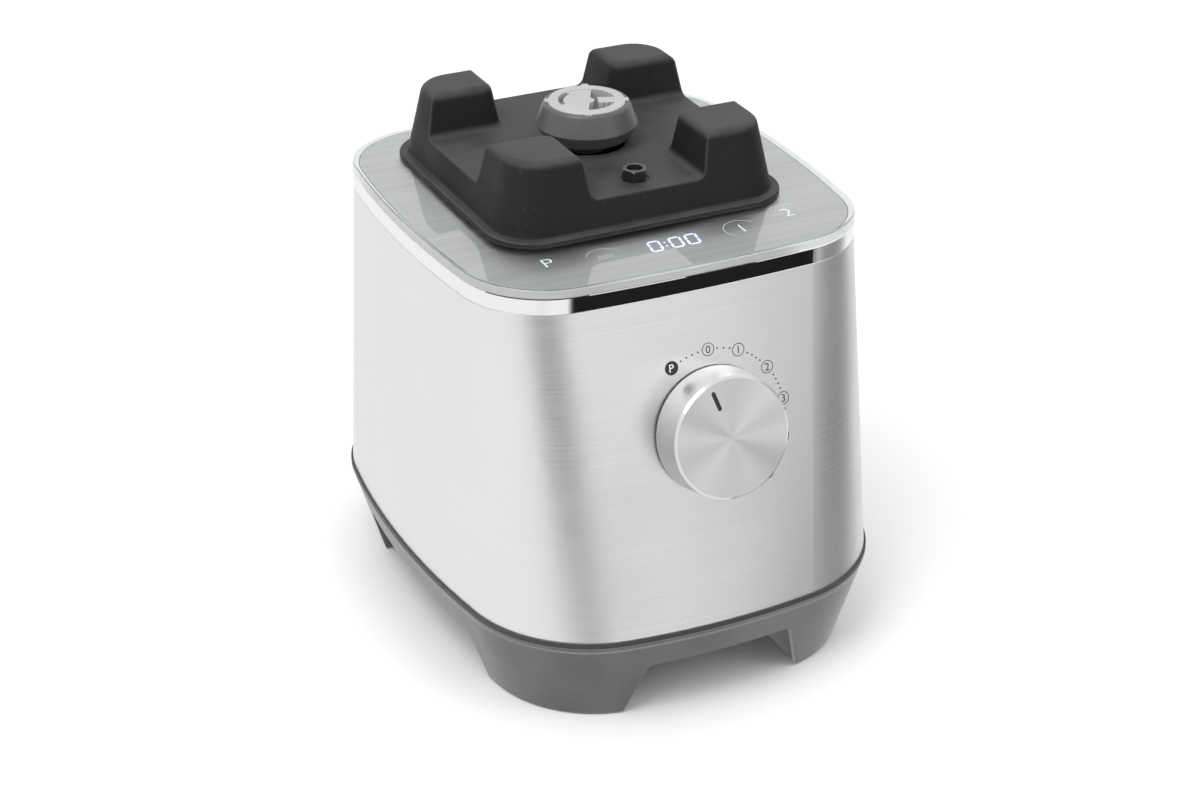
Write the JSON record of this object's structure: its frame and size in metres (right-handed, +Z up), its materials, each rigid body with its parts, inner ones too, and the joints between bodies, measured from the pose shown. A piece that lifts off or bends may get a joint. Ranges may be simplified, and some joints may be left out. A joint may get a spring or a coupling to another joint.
{
  "type": "blender motor base",
  "caption": "Tapered four-footed countertop blender base with a rubber jar pad, a claw drive coupling, a touch glass deck and a turning speed knob.",
  "frame": {"origin": "on the standing plane, under the middle of the base", "axes": "+Z up, -Y towards the front wall that carries the knob, +X to the right of someone facing the knob"},
  "size_m": [0.2138, 0.2661, 0.2456],
  "materials": {
    "stainless": "horizontally brushed",
    "chrome": "polished",
    "skirt_plastic": "satin moulded",
    "black_plastic": "fine moulded texture",
    "dark_plastic": "glossy",
    "gasket_rubber": "matte",
    "pad_rubber": "satin, slightly dusty",
    "seal_rubber": "matte",
    "foot_rubber": "matte",
    "glass": "clear, polished edge",
    "overlay": "brushed",
    "collar_plastic": "satin, glass filled",
    "socket_plastic": "satin",
    "spun_aluminium": "radially spun face, satin side",
    "white_plastic": "satin",
    "screw_steel": "zinc plated",
    "shaft_steel": "ground",
    "lamination": "stacked laminations, varnished",
    "copper": "enamelled copper wire",
    "cast_aluminium": "die cast",
    "carbon": "pressed carbon",
    "brass": "drawn",
    "circuit_board": "solder mask",
    "ivory_plastic": "moulded",
    "ferrite": "wound ring",
    "can_sleeve": "shrink sleeve"
  },
  "bodies": {
    "base": {"shell": "stainless", "shell_gasket": "gasket_rubber", "chrome_band": "chrome", "base_skirt": "skirt_plastic", "bottom_pan": "black_plastic", "pan_screws": "screw_steel", "tie_rods": "screw_steel", "inlet_gland": "black_plastic", "top_deck": "black_plastic", "deck_overlay": "overlay", "glass_panel": "glass", "touch_board": "circuit_board", "touch_keys": "white_plastic", "display_module": "dark_plastic", "jar_pad": "pad_rubber", "shaft_seal": "seal_rubber", "interlock_nut": "dark_plastic", "interlock_spring": "screw_steel", "interlock_bracket": "screw_steel", "interlock_switch": "black_plastic", "knob_ring": "black_plastic", "selector_body": "black_plastic", "selector_nut": "screw_steel", "stator_core": "lamination", "field_coils": "copper", "lower_bracket": "cast_aluminium", "upper_bracket": "cast_aluminium", "lower_bearing": "shaft_steel", "upper_bearing": "shaft_steel", "motor_bolts": "screw_steel", "motor_dampers": "seal_rubber", "motor_screws": "screw_steel", "brush_holders": "brass", "carbon_brushes": "carbon", "brush_springs": "screw_steel", "fan_shroud": "black_plastic", "board_carrier": "ivory_plastic", "power_board": "circuit_board", "capacitors": "can_sleeve", "mains_choke": "ferrite", "heat_sink": "cast_aluminium", "mains_terminal": "ivory_plastic", "board_screws": "screw_steel", "foot_pad_1": "foot_rubber", "foot_pad_2": "foot_rubber", "foot_pad_3": "foot_rubber", "foot_pad_4": "foot_rubber"},
    "spindle": {"motor_shaft": "shaft_steel", "rotor_core": "lamination", "armature_windings": "copper", "commutator": "brass", "cooling_fan": "black_plastic", "drive_collar": "collar_plastic", "drive_socket": "socket_plastic"},
    "knob": {"knob_cap": "spun_aluminium", "knob_pointer": "black_plastic", "knob_core": "black_plastic", "selector_shaft": "ivory_plastic"},
    "plunger": {"interlock_plunger": "black_plastic"},
    "switch_button": {"switch_button": "white_plastic"}
  },
  "joints": [
    {"name": "spindle_spin", "type": "hinge", "parent": "base", "child": "spindle", "pos_m": [0, 0.0177, 0.15], "axis": [0, 0, 1], "continuous": true},
    {"name": "knob_turn", "type": "hinge", "parent": "base", "child": "knob", "pos_m": [0.0015, -0.11029, 0.1347], "axis": [0, -0.9787, 0.2055], "range_deg": [-155.5, 10.5]},
    {"name": "plunger_press", "type": "slide", "parent": "base", "child": "plunger", "axis": [0, 0, -1], "range_m": [0, 0.003], "stiffness_N_per_m": 300, "springref_m": -0.003, "deforming": ["interlock_spring"]},
    {"name": "button_press", "type": "slide", "parent": "base", "child": "switch_button", "axis": [0, 0, -1], "range_m": [0, 0.003]}
  ],
  "couplings": [
    {"joint": "button_press", "follows": "plunger_press", "ratio": 1}
  ]
}
